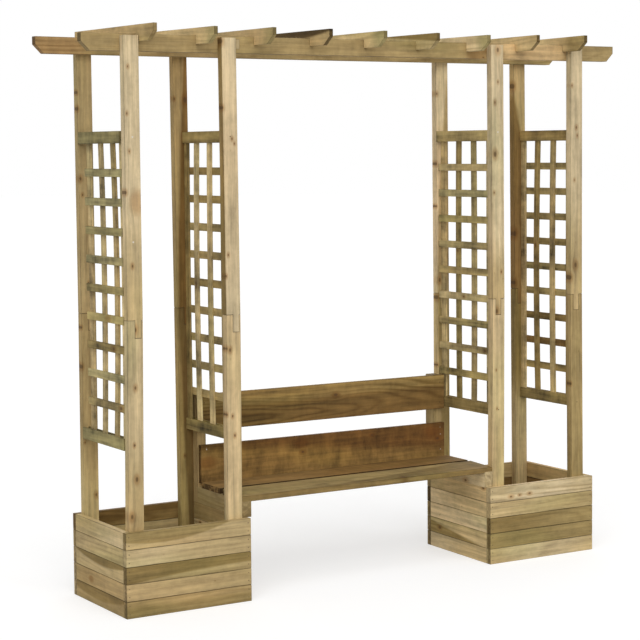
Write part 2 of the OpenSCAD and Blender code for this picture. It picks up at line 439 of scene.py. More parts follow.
def wood(name, rings, figure_depth, streak, blotch, smear=0.25, end_fade=1.0, end_spots=(70.0, 0.65),
         cast=NO_TINT):
    """Planed softwood: long streaks, arches of growth rings, blotches, knots, checks and end grain.

    rings is how many growth rings lie in a metre, and figure_depth, streak, blotch and smear say how
    strongly each kind of figure shows. A knot with a radius under zero is a soft dark patch with no dark
    heart: a stain, and on the front beam painted shade. end_fade is how much of an end's darkness is left
    on the far side through a board, end_spots how close the dark spots of end grain stand and how much of
    it is left between them. cast tints the whole."""
    g = Graph(name)
    gco, gno = g.attr("gco")["Vector"], g.attr("gno")["Vector"]
    u, v, w = g.split(gco)
    un, vn, wn = g.split(gno)
    slope_u, slope_v, square_u = g.split(g.attr("band")["Vector"])
    start, seed, figure = g.split(g.attr("misc")["Vector"])
    end, edge, dirty = g.split(g.attr("flag")["Vector"])

    # knots push the grain aside
    bent, near, core = v, None, None
    for key in Piece.KNOTS:
        knot = g.attr(key)["Vector"]
        gap = g.vec("MULTIPLY", g.vec("SUBTRACT", gco, knot), (0.6, 1.0, 0.0))
        size = g.split(knot)[2]
        far = g.math("DIVIDE", g.vec("LENGTH", gap), g.math("ABSOLUTE", size))
        heart = g.math("MULTIPLY_ADD", g.math("LESS_THAN", size, 0.0), 9.0, far)
        push = g.math("EXPONENT", g.times(far, far, -0.2))
        bent = g.math("SUBTRACT", bent, g.times(g.split(gap)[1], push, 0.8))
        near = far if near is None else g.math("MINIMUM", near, far)
        core = heart if core is None else g.math("MINIMUM", core, heart)
    shift = g.join(g.times(seed, 3.1), g.times(seed, 1.7), g.times(seed, 2.3))
    place = g.vec("ADD", g.join(u, bent, w), shift)

    # noises, stretched along the grain: how close they stand along, across and through it
    slow = g.noise(place, (1.5, 9.0, 9.0), 2.0)
    fast = g.noise(place, (6.0, 40.0, 40.0), 2.0)
    long_streak = g.noise(place, (1.8, 60.0, 60.0), 3.0, 0.6)
    clouds = g.noise(place, (5.0, 18.0, 18.0), 3.0)
    smudges = g.noise(place, (24.0, 9.0, 20.0), 4.0, 0.65)
    fibre = g.noise(place, (11.0, 520.0, 520.0), 3.0, 0.6)
    mottle = g.noise(place, (40.0, 75.0, 75.0), 3.0, 0.6)
    damp = g.noise(place, (1.6, 8.0, 8.0), 1.0)
    patches = g.noise(place, (1.1, 6.0, 6.0), 1.0)

    # heartwood against sapwood
    reach = g.add(g.times(slope_u, un), g.times(slope_v, vn), g.times(square_u, un, un), start,
                  g.swing(slow, 2.2))
    body = g.mix(g.ease(reach, -1.0, 1.0), g.attr("tone_a")["Color"], g.attr("tone_b")["Color"])

    # growth rings round a heart that dips through the board, so they show as arches
    dip = g.times(u, g.math("SINE", g.times(seed, 12.9)), 0.07)
    depth = g.add(g.times(w, 0.8), dip, g.swing(slow, 0.10), 0.02)
    aside = g.add(bent, g.times(g.math("SINE", g.times(seed, 4.7)), 0.02), -0.03)
    field = g.add(g.vec("LENGTH", g.join(aside, depth, 0.0)), g.swing(fast, 0.006))
    late = g.math("MULTIPLY_ADD", g.math("SINE", g.times(field, rings, FULL_TURN)), 0.5, 0.5)
    late = g.math("POWER", late, 2.0)
    showing = g.times(late, figure, g.ease(patches, 0.35, 0.65, 0.25, 1.0), figure_depth)
    color = g.stain(body, showing, LATE_WOOD)

    shade = g.add(g.swing(long_streak, streak), g.swing(clouds, blotch), g.swing(smudges, smear),
                  g.swing(fibre, 0.6), g.swing(mottle, 0.4), 1.05)
    color = g.vec("MULTIPLY", g.scale(color, shade), cast)
    color = g.stain(color, g.ease(damp, 0.48, 0.70, 0.0, 0.7), DAMP)
    color = g.stain(color, g.ease(patches, 0.52, 0.35, 0.0, 0.7), WARM)
    speck = g.noise(place, (38.0, 75.0, 75.0), 1.0)
    color = g.stain(color, g.ease(speck, 0.74, 0.84, 0.0, 0.5), SPECK)

    # fine checks along the grain
    check = g.noise(place, (3.5, 480.0, 480.0), 2.0)
    color = g.stain(color, g.ease(check, 0.70, 0.78, 0.0, 0.4), CHECK)

    # knots: a dark heart in a red-brown halo
    ragged = g.swing(fast, 0.9)
    color = g.stain(color, g.ease(g.add(near, ragged), 2.5, 0.8, 0.0, 0.62), KNOT_HALO)
    color = g.mix(g.ease(g.add(core, ragged), 0.9, 0.4, 0.0, 0.7), color, KNOT_HEART)

    # end grain
    away = g.vec("LENGTH", g.vec("MULTIPLY", g.vec("SUBTRACT", gco, END_HEART), (0.0, 1.0, 1.0)))
    arcs = g.math("SINE", g.times(g.add(away, g.times(fast, 0.004)), END_RINGS))
    sawn = g.scale(g.vec("MULTIPLY", body, SAWN_END), g.math("MULTIPLY_ADD", arcs, 0.14, 1.0))
    spots = g.noise(place, (20.0, end_spots[0], end_spots[0]), 2.0)
    rough_end = g.ease(spots, 0.40, 0.55, end_spots[1], 1.0)
    color = g.mix(g.times(end, rough_end, g.ease(wn, 0.6, 0.8, 1.0, end_fade)), color, sawn)

    # painted shade: eased edges are darkened, as the seams between boards are shaded, by an amount that a
    # noise varies
    seam_shade_noise = g.noise(place, (9.0, 30.0, 30.0), 2.0)
    color = g.mix(edge, color, g.scale(color, g.ease(seam_shade_noise, 0.35, 0.7, 0.40, 0.85)))
    # painted shade: marked faces are darkened, as deep in a narrow gap
    color = g.stain(color, dirty, GAP_SHADE)
    height = g.add(g.times(late, 0.4), g.times(fibre, 0.8))
    return g.surface(Base_Color=color, Roughness=g.math("MULTIPLY_ADD", fibre, 0.2, 0.66),
                     Specular_IOR_Level=0.2, Normal=g.bump(height, 0.3, 0.0004))


def screw_metal(name, bright, dull, spread):
    """Mottled screw metal, from bright to dull."""
    g = Graph(name)
    coord = g.tree.nodes.new("ShaderNodeTexCoord").outputs["Object"]
    mottle = g.noise(coord, (900.0, 900.0, 900.0), 3.0)
    worn = g.noise(coord, (60.0, 60.0, 60.0), 2.0)
    color = g.mix(g.ease(worn, 0.4, 0.6, 0.0, spread), bright, dull)
    color = g.stain(color, g.ease(mottle, 0.3, 0.7), (0.7, 0.66, 0.6))
    return g.surface(Base_Color=color, Metallic=0.6, Roughness=g.ease(mottle, 0.2, 0.8, 0.35, 0.6),
                     Normal=g.bump(mottle, 0.2, 0.0002))


POST = wood("post_timber", rings=75.0, figure_depth=0.35, streak=1.2, blotch=1.05, smear=0.3)
ROOF = wood("roof_timber", rings=60.0, figure_depth=0.4, streak=0.8, blotch=0.8, smear=0.7,
            end_spots=(70.0, 0.9))
LATH = wood("trellis_timber", rings=90.0, figure_depth=0.35, streak=1.4, blotch=2.7, smear=1.6,
            cast=(1.03, 1.08, 1.13))
PLANTER = wood("planter_boards", rings=70.0, figure_depth=0.5, streak=1.05, blotch=0.8, smear=0.35,
               end_fade=0.4)
BENCH = wood("bench_boards", rings=78.0, figure_depth=0.75, streak=1.3, blotch=1.0, smear=0.7,
             end_spots=(45.0, 0.15))
STAINED = wood("bench_board_stained", rings=80.0, figure_depth=0.5, streak=1.2, blotch=1.3, smear=2.1)
FRAME = wood("bench_frame", rings=70.0, figure_depth=0.4, streak=1.0, blotch=0.8)
ZINC = screw_metal("screw_zinc", (0.85, 0.84, 0.80, 1.0), (0.62, 0.58, 0.48, 1.0), 0.8)
RUSTY = screw_metal("screw_rust", (0.16, 0.11, 0.06, 1.0), (0.05, 0.03, 0.015, 1.0), 1.0)

# Posts: two lengths of timber joined by a tongue in a slot

SHOULDER = 1029.0
TONGUE_LEN = 61.0
TONGUE_W = 24.0
JOINT_PLAY = 0.7
POST_EDGE = 1.0
# timber left beside the tongue, on the posts of each planter
CHEEK = {"left": 6.0, "right": 18.0}
# height of the planters' rim, up to which a post's lean stays the same
RIM = 300.0
# band that gives tone b to the left side of a post alone
LEFT_SIDE_BAND = (0, -30, 0, 0.8)


def post(name, lean, foot, head):
    """lean is the shift along X in mm at the planter's rim, at the joint and at the top. foot and head
    are the looks of the lower and the upper length."""
    piece = Piece(name, "post_timber")
    lo, hi = box(name)
    x0, x1 = lo[0], hi[0]
    t1 = x1 - CHEEK["left" if x0 < 0 else "right"]
    t0 = t1 - TONGUE_W
    low = SHOULDER - TONGUE_LEN
    slot = low - JOINT_PLAY
    fork = [(lo[2], x0), (lo[2], x1), (SHOULDER, x1), (SHOULDER, t1 + JOINT_PLAY), (slot, t1 + JOINT_PLAY),
            (slot, t0 - JOINT_PLAY), (SHOULDER, t0 - JOINT_PLAY), (SHOULDER, x0)]
    step = SHOULDER + JOINT_PLAY
    stem = [(step, x0), (step, t0), (low, t0), (low, t1), (step, t1), (step, x1), (hi[2], x1), (hi[2], x0)]
    bend = ((RIM, lean[0]), (SHOULDER, lean[1]), (hi[2], lean[2]))
    for outline, look in ((fork, foot), (stem, head)):
        prism(piece, outline, (2, 0), (lo[1], hi[1]), (2, 0, 1), r=POST_EDGE, bow=0.0, bend=bend, **look)
    piece.done(POST)


# painted light: where a band makes a post paler towards its top, as on most upper lengths, it paints light
# that grows towards the top of the posts, and the darker middle of the right outer back post paints the
# shade of the trellis beside it
post("post_left_outer_back", (0, 2, 0),
     dict(a="sand", b="straw", band=(-6, 0, 0, 2.6), figure=0.8,
          knots=((837, 0, 6), (979, 0, 4), (367, 48, 6), (561, 7, 3))),
     dict(a="tan", figure=0.7,
          knots=((852, 0, 4), (794, 0, 5), (545, 7, 6), (487, 14, 4), (170, 31, 4))))
post("post_left_outer_front", (0, 8, 7),
     dict(a="pale", b="tan", band=(-4, 0, 0, 1.8), figure=0.6, lift=0.97,
          knots=((350, 13, 8), (479, 32, 7), (598, 23, 4), (797, 28, 6))),
     dict(a="straw", b="cream", band=(5, 0, 0, -1.6), figure=0.5,
          knots=((29, 29, 8), (249, 22, 5), (468, 43, -15), (501, 1, 5), (641, 17, 4), (770, 10, 4),
                 (929, 16, 4))))
post("post_left_inner_back", (4, 0, -6),
     dict(a="umber", b="olive", band=(-4, -7, 0, 4.5), figure=0.9, lift=1.25, knots=((476, 20, 4),)),
     dict(a="brown", b="sand", band=(0, -8, 6, 1.0), figure=0.9, lift=1.16,
          knots=((828, 48, 9), (832, 4, 4))))
post("post_left_inner_front", (1, 3, -3),
     dict(a="pale", figure=0.5, lift=0.95,
          knots=((905, 14, 6), (910, 2, 5), (675, 0, 4), (668, 22, 4), (598, 31, 4))),
     dict(a="cream", b="moss", band=LEFT_SIDE_BAND, figure=0.5, lift=0.99,
          knots=((682, 36, 4), (665, 45, 3), (274, 13, 4), (199, 3, 4), (791, 0, 5), (1022, 0, 7))))
post("post_right_inner_back", (3, 2, -2.5),
     dict(a="olive", b="straw", band=(1, -20, 0, 0.5), figure=1.0, lift=1.18,
          knots=((1013, 0, 7), (739, 0, 4))),
     dict(a="tan", b="cream", band=(0, -8, 9, 0.3), figure=0.8, lift=1.16,
          knots=((860, 5, 5), (581, 0, 5), (411, 0, 4), (209, 40, 7), (114, 12, 8))))
post("post_right_inner_front", (-3, 1, -4),
     dict(a="straw", b="pale", band=(6, 0, 0, -3), figure=0.6, knots=((753, 19, 3), (602, 23, 3))),
     dict(a="straw", b="cream", band=(8, 0, 0, -1.9), figure=0.6, lift=0.99,
          knots=((13, 21, 7), (165, 43, 4), (471, 11, 4), (618, 16, 9), (816, 17, 5), (894, 32, 4),
                 (1016, 32, 9))))
post("post_right_outer_back", (8, 3, -3),
     dict(a="straw", b="moss", band=(7, 0, 0, -4), figure=0.8, lift=1.08),
     dict(a="nut", b="tan", band=(24, 6, 0, -20), figure=1.0, lift=1.2,
          knots=((894, 0, 9), (289, 3, 10), (87, 0, 7))))
post("post_right_outer_front", (2, -4, -5),
     dict(a="olive", b="sand", band=(2, 0, 0, -1), figure=0.9, lift=1.03, knots=((673, 0, 4),)),
     dict(a="straw", b="cream", band=(4, 0, 0, -1.5), figure=0.5, lift=0.95,
          knots=((884, 7, 4), (720, 29, 5), (688, 33, 4), (513, 19, 4), (177, 25, 9), (129, 0, 8))))

# Beams and rafters

BEAM_BEVEL = 32.0
BEAM_EDGE = 1.2
BEAM_END = (0.8, 0.15)
# how far a let-in plug stands out of the beam and reaches into it
PLUG_PROUD = 0.4
PLUG_DEPTH = 6.0


def beam(name, ends, patch=(), **look):
    """ends is how far the ends stand along X from the solid's, in mm. patch is the end of a let-in
    plug, its corners along X and Z on the front face."""
    piece = Piece(name, "roof_timber")
    (x0, y0, z0), (x1, y1, z1) = box(name)
    x0, x1 = x0 + ends[0], x1 + ends[1]
    outline = [(x0, z0 + BEAM_BEVEL), (x0 + BEAM_BEVEL, z0), (x1 - BEAM_BEVEL, z0), (x1, z0 + BEAM_BEVEL),
               (x1, z1), (x0, z1)]
    prism(piece, outline, (0, 2), (y0, y1), (0, 2, 1), r=BEAM_EDGE, end=BEAM_END, **look)
    if patch:
        left, low, right, top = patch
        board(piece, (left, y0 - PLUG_PROUD, low), (right, y0 + PLUG_DEPTH, top), 2, "pale", r=1.4,
              figure=0.3)
    piece.done(ROOF)


# painted shade: the two soft stains just left of the right inner front post paint the shade beside that post
beam("beam_front", ends=(0.0, 2.2), patch=(-551, 1965, -528, 2000), a="sand", b="corn",
     band=(495, 0, -300, -202.9), figure=0.7, knots=((1640, 12, -16), (1676, 32, -9), (1672, 6, 4)))
# the back beam's left end is bent up
beam("beam_back", ends=(4.4, 0.0), a="clay", b="sand", band=(26, 0, 0, -2), figure=1.8,
     bend=((-1173, 4), (-900, 3), (0, 0)))

RAFTER_EDGE = 1.0
NOTCH_PLAY = 0.5
BEVEL_RUN = 42.0
BEVEL_RISE = 30.0
# tone, tone where the band says, band, lift, how dark ends and bevels are, rise of both ends in mm
RAFTERS = (
    ("tan", "sand", (-14, 0, 0, 1.4), 1.2, (0.4, 0.1), (1.9, 7.4)),
    ("straw", "sage", (-14, 0, 0, 1.4), 1.4, (0.8, 0.1), (-3.5, 5.5)),
    ("straw", "sage", (-14, 0, 0, 1.4), 1.12, (0.72, 0.1), (-1.5, 4)),
    ("tan", "peat", (16, 10, -18, -8.5), 1.05, (1.0, 0.85), (-1, 4.5)),
    ("straw", "sage", (-14, 0, 0, 1.4), 1.45, (0.75, 0.1), (-2, 1)),
    ("straw", "moss", (-10, 12, 0, -6), 1.12, (0.6, 0.1), (-4, 1.5)),
    ("pale", "sage", (-14, 0, 0, 1.4), 1.35, (0.55, 0.1), (-6, 0)),
    ("straw", "tan", (-14, 0, 0, 1.4), 1.3, (0.99, 0.6), (-0.5, -1)),
    ("straw", "olive", (-14, 0, 0, 2.4), 1.28, (0.95, 0.5), (3.3, -0.2)),
)


def rafter(index, a, b, band, lift, end, rise):
    """A rafter, notched over both beams. The notches' roofs follow its tilt."""
    name = "rafter_%d" % index
    piece = Piece(name, "roof_timber")
    (x0, y0, z0), (x1, y1, z1) = box(name)
    tilt = ((y0, rise[0]), (y1, rise[1]))
    notches = []
    for carrier in ("beam_front", "beam_back"):
        lo, hi = box(carrier)
        front, back = lo[1] - NOTCH_PLAY, hi[1] + NOTCH_PLAY
        roof = hi[2] - along(tilt, (front + back) / 2)
        notches += [(front, z0), (front, roof), (back, roof), (back, z0)]
    outline = [(y0, z0 + BEVEL_RISE), (y0 + BEVEL_RUN, z0)] + notches
    outline += [(y1 - BEVEL_RUN, z0), (y1, z0 + BEVEL_RISE), (y1, z1), (y0, z1)]
    prism(piece, outline, (1, 2), (x0, x1), (1, 2, 0), a, b, band=band, r=RAFTER_EDGE, bow=0.0,
          lift=lift, end=end, bend=tilt)
    piece.done(ROOF)


for n, look in enumerate(RAFTERS):
    rafter(n + 1, *look)

# Trellis panels: grooved rails and crossing laths

RAIL_H = 42.0
GROOVE = 10.0
LATH_W = 28.0
LATH_T = 9.0
LATH_LAP = 2.0
LATH_OVER = 6.0
ROWS = 10
COLUMNS = 3
RAIL_LOOK = dict(r=1.0, figure=0.8, end=(0.5, 0.5))
UPRIGHT_LOOK = dict(r=0.8, figure=0.7, end=(0.4, 0.4), bow=0.3)
LEVEL_LOOK = dict(r=0.8, figure=0.7, end=(0.45, 0.45), bow=0.4)
BEND_STEPS = 8


def trellis(name, outward, slip, lift, rails, levels, uprights, bows, marks):
    """outward is the side of the level laths, and slip moves the lath field to the back. rails, levels
    and uprights are tones, from the lowest up and from front to back, and bows is how far the uprights
    bend, in mm. marks are dark spots: the kind of lath, its number, the place along Y or Z, the radius."""
    piece = Piece(name, "trellis_timber")
    (x0, y0, z0), (x1, y1, z1) = box(name)
    face = x0 if outward < 0 else x1
    groove_in = (x1 - x0 - 2 * LATH_T + LATH_LAP) / 2

    def spots(kind, number, start):
        return [(at - start, LATH_W / 2, r) for lath, k, at, r in marks if (lath, k) == (kind, number)]

    def layer(depth):
        return sorted((face - outward * depth, face - outward * (depth + LATH_T)))

    lips = (x0, x0 + groove_in, x1 - groove_in, x1)
    for base, lip, colour in ((z0, z0 + RAIL_H, rails[0]), (z1, z1 - RAIL_H, rails[1])):
        bed = lip - GROOVE if lip > base else lip + GROOVE
        outline = [(lips[0], base), (lips[3], base), (lips[3], lip), (lips[2], lip), (lips[2], bed),
                   (lips[1], bed), (lips[1], lip), (lips[0], lip)]
        prism(piece, outline, (0, 2), (y0, y1), (1, 2, 0), colour, lift=lift, **RAIL_LOOK)

    pitch = (z1 - z0 - 2 * RAIL_H) / ROWS
    middle = (y0 + y1) / 2
    fronts = [min(max(middle + (c - COLUMNS / 2) * pitch - LATH_W / 2 + slip, y0), y1 - LATH_W)
              for c in range(COLUMNS + 1)]
    low, top = z0 + RAIL_H - GROOVE, z1 - RAIL_H + GROOVE
    near, far = layer(groove_in + LATH_T - LATH_LAP)
    parts = [t / BEND_STEPS for t in range(BEND_STEPS + 1)]
    for k, (y, colour, bow) in enumerate(zip(fronts, uprights, bows)):
        bend = [(low + (top - low) * t, bow * (0.5 - 4 * (t - 0.5) ** 2)) for t in parts]
        board(piece, (near, y, low), (far, y + LATH_W, top), 2, colour, bend=bend, lift=lift,
              knots=spots("upright", k, low), **UPRIGHT_LOOK)
    near, far = layer(groove_in)
    front, back = max(y0, fronts[0] - LATH_OVER), min(y1, fronts[-1] + LATH_W + LATH_OVER)
    for k, colour in enumerate(levels):
        z = z0 + RAIL_H + pitch * (k + 1) - LATH_W / 2
        board(piece, (near, front, z), (far, back, z + LATH_W), 1, colour, lift=lift,
              knots=spots("level", k, front), **LEVEL_LOOK)
    piece.done(LATH)


trellis("trellis_left_outer", outward=-1, slip=-41, lift=1.04, rails=("ash", "ash"),
        levels=("olive", "sage", "moss", "olive", "olive", "sage", "ash", "sage", "sage"),
        uprights=("straw", "sand", "tan", "tan"), bows=(-6, -19, -14, -6),
        marks=(("level", 2, -103, 8), ("level", 0, -156, 8), ("level", 3, -60, -9)))
trellis("trellis_left_inner", outward=1, slip=33, lift=1.08, rails=("moss", "moss"),
        levels=("olive", "olive", "olive", "olive", "moss", "olive", "olive", "moss", "bark"),
        uprights=("olive", "tan", "straw", "moss"), bows=(4, 6, 10, 4),
        marks=(("upright", 2, 1123, 6),))
trellis("trellis_right_inner", outward=-1, slip=-7.5, lift=1.15, rails=("moss", "olive"),
        levels=("olive", "sand", "olive", "tan", "olive", "sand", "olive", "sage", "sand"),
        uprights=("straw", "sand", "moss", "sand"), bows=(0, -4, 4, 0),
        marks=(("upright", 2, 1204, 5), ("level", 3, -18, 5), ("level", 1, -158, 5)))
trellis("trellis_right_outer", outward=1, slip=19, lift=1.18, rails=("moss", "moss"),
        levels=("moss", "brown", "nut", "olive", "olive", "moss", "olive", "olive", "olive"),
        uprights=("moss", "sand", "moss", "tan"), bows=(0, 7, 10, 0),
        marks=(("upright", 2, 1213, 6), ("level", 3, -153, 6)))

# Planters of stacked boards

BOARD_PITCH = 60.0
BOARD_H = 59.0
NAIL_IN = 11.5
NAIL_UP = (15.0, 44.0)
NAIL_SIZE = 0.7
WALL_EDGE = 1.3
NAILS = Screws("nails_planters", "planter_boards")
# the right planter stands out of square: shifts of its corners along X, in mm
SKEW_FRONT = -5.8
SKEW_BACK = 7.0
SKEW_RIGHT = 8.6
# shifts of the left and right end of a front or back wall, and of the front and back end of a side wall
END_SHIFTS = {
    "planter_right_front": (SKEW_FRONT, SKEW_RIGHT),
    "planter_right_back": (SKEW_BACK, SKEW_RIGHT),
}
SIDE_SHIFTS = {
    "planter_right_inner_side": (SKEW_FRONT, SKEW_BACK),
    "planter_right_outer_side": (SKEW_RIGHT, SKEW_RIGHT),
}


def wall(name, iu, rows, nailed=0):
    """A stack of boards with the grain along axis iu. nailed is the side along Y that shows nails."""
    piece = Piece(name, "planter_boards")
    lo, hi = box(name)
    ends = END_SHIFTS.get(name, (0.0, 0.0))
    lo[0] += ends[0]
    hi[0] += ends[1]
    slant = tuple(zip((lo[1], hi[1]), SIDE_SHIFTS.get(name, ())))
    for k, row in enumerate(rows):
        z = lo[2] + k * BOARD_PITCH
        look = {"r": WALL_EDGE, **row}
        board(piece, (lo[0], lo[1], z), (hi[0], hi[1], z + BOARD_H), iu, slant=slant, **look)
        if nailed:
            for x in (lo[0] + NAIL_IN, hi[0] - NAIL_IN):
                for rise in NAIL_UP:
                    NAILS.add((x, lo[1] if nailed < 0 else hi[1], z + rise), (0, nailed, 0), NAIL_SIZE)
    piece.done(PLANTER)


HIDDEN_TONES = (("straw", "tan"), ("pale", "straw"), ("olive", "moss"), ("sand", "olive"),
                ("tan", "pale"))
HIDDEN_END = (0.75, 0.75)


def plain(seed, count):
    """Rows, from the lowest up, for the part of a wall that the photograph doesn't show."""
    rng = random.Random(seed)
    rows = []
    for _ in range(count):
        a, b = rng.choice(HIDDEN_TONES)
        band = (rng.uniform(-4, 4), rng.uniform(-6, 6), 0, rng.uniform(-2, 2))
        knot = (rng.uniform(60, 420), rng.uniform(12, 48), rng.uniform(4, 8))
        rows.append(dict(a=a, b=b, band=band, knots=(knot,), end=HIDDEN_END))
    return tuple(rows)


DARK_END = (0.72, 0.72)
LIGHT_END = (0.3, 0.3)
# looks of the boards of each wall, from the lowest up
LEFT_FRONT = (
    dict(a="olive", b="sand", band=(0, 5, 0, -3), figure=1.5, end=DARK_END, lift=0.97),
    dict(a="straw", b="tan", band=(2, 0, 0, -1.5), figure=0.5, end=DARK_END, lift=0.94),
    dict(a="moss", b="tan", band=(14, -14, -7, -0.9), figure=0.9, end=DARK_END),
    dict(a="straw", b="pale", band=(-4, 0, 0, 1.5), figure=0.4, end=LIGHT_END, lift=0.93),
    dict(a="straw", b="olive", band=(18.2, 14, -33.6, -5.9), figure=0.6, end=DARK_END, lift=0.94),
)
LEFT_SIDE = (
    dict(a="sand", b="moss", band=(19, 12, -17.3, -9.5), figure=0.9, lift=0.95),
    dict(a="tan", b="sand", band=(5, 0, 0, -2.5), figure=1.2, knots=((271, 26, -7),)),
    dict(a="straw", b="moss", band=(17.4, 14, -19.4, -11.2), figure=0.7),
    dict(a="straw", figure=0.8, lift=1.06),
    dict(a="pale", b="straw", band=(4, 0, 0, -2), figure=0.5),
)
RIGHT_FRONT = (
    dict(a="straw", b="pale", band=(10, 0, -10, -1.3), figure=0.7, end=DARK_END, lift=0.97),
    dict(a="olive", figure=0.7, end=DARK_END),
    dict(a="moss", b="olive", band=(4, 0, 0, -2), figure=0.8, end=DARK_END, lift=0.92),
    dict(a="straw", b="tan", band=(4, 0, 0, -2.5), figure=0.7, end=LIGHT_END),
    dict(a="pale", b="cream", band=(16, 0, -16, -3), figure=1.3, end=LIGHT_END,
         knots=((100, 16, 6), (142, 18, 4), (191, 20, 5))),
)
# painted light: these face the bench and get little light, and their lifts make them paler to make up for
# that shade
RIGHT_SIDE = (
    dict(a="straw", b="pale", band=(3, 0, 0, -1.5), figure=0.7, lift=1.3),
    dict(a="straw", b="moss", band=(8, -9, 0, -1), figure=1.0, knots=((333, 24, 7),), lift=1.4),
    dict(a="pale", figure=0.5, lift=1.42),
    dict(a="straw", b="pale", band=(3, 0, 0, -1.5), figure=0.6, lift=1.4),
    dict(a="straw", b="tan", band=(3, 0, 0, -1), figure=0.9, knots=((24, 52, 6),), lift=1.28),
)
LEFT_BACK = plain(21, 3) + (
    dict(a="tan", b="straw", band=(3, 0, 0, -1.5), figure=0.8),
    dict(a="brown", b="nut", band=(3, -6, 0, 1), figure=1.6, lift=1.1),
)
RIGHT_BACK = plain(34, 3) + (
    # partly painted shade: this dark brown board also paints the shade inside the planter
    dict(a="umber", b="brown", band=(3, 0, 0, -1.5), figure=1.0),
    dict(a="tan", b="sand", band=(3, 0, 0, -1.5), figure=0.9, lift=1.1),
)
RIGHT_OUTER = plain(55, 3) + (
    dict(a="brown", b="nut", band=(3, 0, 0, -1.5), figure=1.0),
    dict(a="tan", b="sand", band=(3, 0, 0, -1.5), figure=0.9, knots=((60, 44, 6),), lift=1.2),
)
LEFT_INNER = plain(89, 4) + (
    dict(a="olive", b="sand", band=(-3, 0, 0, 1), figure=0.9, r=0.5),
)
ROWS_OF = {
    "planter_left_front": LEFT_FRONT,
    "planter_left_outer_side": LEFT_SIDE,
    "planter_left_inner_side": LEFT_INNER,
    "planter_left_back": LEFT_BACK,
    "planter_right_front": RIGHT_FRONT,
    "planter_right_inner_side": RIGHT_SIDE,
    "planter_right_outer_side": RIGHT_OUTER,
    "planter_right_back": RIGHT_BACK,
}
for name, rows in ROWS_OF.items():
    if name.endswith("side"):
        wall(name, 1, rows)
    else:
        wall(name, 0, rows, -1 if name.endswith("front") else 1)
NAILS.done(RUSTY)

FLOOR_BOARDS = ("olive", "sand", "tan", "moss")
FLOOR_GAP = 8.0
for side in ("left", "right"):
    name = "planter_%s_floor" % side
    piece = Piece(name, "planter_boards")
    lo, hi = box(name)
    hi[0] += SKEW_RIGHT if side == "right" else 0.0
    width = (hi[1] - lo[1] + FLOOR_GAP) / len(FLOOR_BOARDS)
    for k, colour in enumerate(FLOOR_BOARDS):
        y = lo[1] + k * width
        board(piece, (lo[0], y, lo[2]), (hi[0], y + width - FLOOR_GAP, hi[2]), 0, colour)
    piece.done(PLANTER)

# Bench

FRAME_END = (0.85, 0.85)
# the front seat board dips to the front
SEAT_DIP = 5.4
# the lower back board is short at the left, a little taller than the solid, and taller still at the left
BACK_SHORT = 6.5
BACK_LIFT = 2.0
BACK_RISE = 4.5
# how much higher than the solid the left and right end of the upper back board stand
UPPER_LIFTS = (4.0, 2.0)


def single(name, slot, iu, material, **look):
    """A node that is one board."""
    piece = Piece(name, slot)
    board(piece, *box(name), iu, **look)
    piece.done(material)


def seat_front(name):
    """The front seat board."""
    piece = Piece(name, "bench_boards")
    (x0, y0, z0), (x1, y1, z1) = box(name)
    outline = [(y0, z0 - SEAT_DIP), (y1, z0), (y1, z1), (y0, z1 - SEAT_DIP)]
    prism(piece, outline, (1, 2), (x0, x1), (0, 1, 2), "olive", "bark", band=(0, -24, 26, 0.4), r=1.6,
          figure=0.8, end=FRAME_END, knots=((700, 12, 9),))
    piece.done(BENCH)


def lower_back(name):
    """The stained lower back board."""
    piece = Piece(name, "bench_boards")
    (x0, y0, z0), (x1, y1, z1) = box(name)
    left, top = x0 + BACK_SHORT, z1 + BACK_LIFT
    outline = [(left, z0), (x1, z0), (x1, top), (left, top + BACK_RISE)]
    prism(piece, outline, (0, 2), (y0, y1), (0, 2, 1), "amber", "mahogany", band=(4.5, 6, 0, -5.6), r=1.4,
          figure=0.6, end=DARK_END, lift=1.07,
          knots=((441, 78, 6), (434, 112, -12), (757, 116, 5), (1044, 104, -15), (1070, 76, 7),
                 (26, 75, -14)))
    piece.done(STAINED)


def upper_back(name):
    """The upper back board, which stands a little askew."""
    lo, hi = box(name)
    bend = tuple(zip((lo[0], hi[0]), UPPER_LIFTS))
    single(name, "bench_boards", 0, BENCH, a="brown", b="honey", band=(-1.5, 11, 0, -6.5), r=1.4,
           figure=1.4, end=(0.5, 0.5), bend=bend, knots=((598, 92, 7),))


for side in ("left", "right"):
    single("back_upright_%s" % side, "bench_frame", 2, FRAME, a="tan", b="sand", band=(3, 0, 0, -1.5),
           end=FRAME_END)
single("seat_support_left", "bench_frame", 1, FRAME, a="sand", b="tan", band=(0, 4, 0, -2), r=0.6)
# painted light: the right support's lift makes it paler, to make up for the shade under the seat
single("seat_support_right", "bench_frame", 1, FRAME, a="straw", b="pale", band=(-3, 0, 0, 1.5), r=0.6,
       lift=1.3, knots=((127, 10, 8),))
seat_front("seat_board_front")
# painted shade: the front face of the back seat board, deep in the gap behind the front board, is darkened
single("seat_board_back", "bench_boards", 0, BENCH, a="brown", b="nut", band=(-12, 0, 0, 5), r=1.6,
       figure=1.0, end=FRAME_END, lift=1.19, dirt=(0, -1, 0))
lower_back("back_board_lower")
upper_back("back_board_upper")

# Screws, by places in mm

TO_FRONT = (0, -1, 0)
TO_BACK = (0, 1, 0)
UPWARD = (0, 0, 1)
SMALL = 0.8
# along X and Z, with the size of each head
LOWER_BACK_SCREWS = ((-524, 500, 0.8), (534, 494, 0.5), (536, 466, 0.5), (536, 405, 0.6))
UPPER_BACK_X = (-532, 534)
UPPER_BACK_Z = (595, 675)
SEAT_X = (-536, 536)
SEAT_Y = (-180, -105, -25, 70)
# along X and Z on the posts' front faces
BRIGHT_POST_SCREWS = ((-964, 1658), (-967, 1299), (583, 1671))
WORN_POST_SCREWS = ((-588, 669), (-581, 600), (-972, 598), (584, 598), (972, 598), (972, 1658),
                    (-585, 1658))
POST_BACK_X = (-972, -584, 584, 972)
POST_BACK_Z = (598, 1290, 1658)

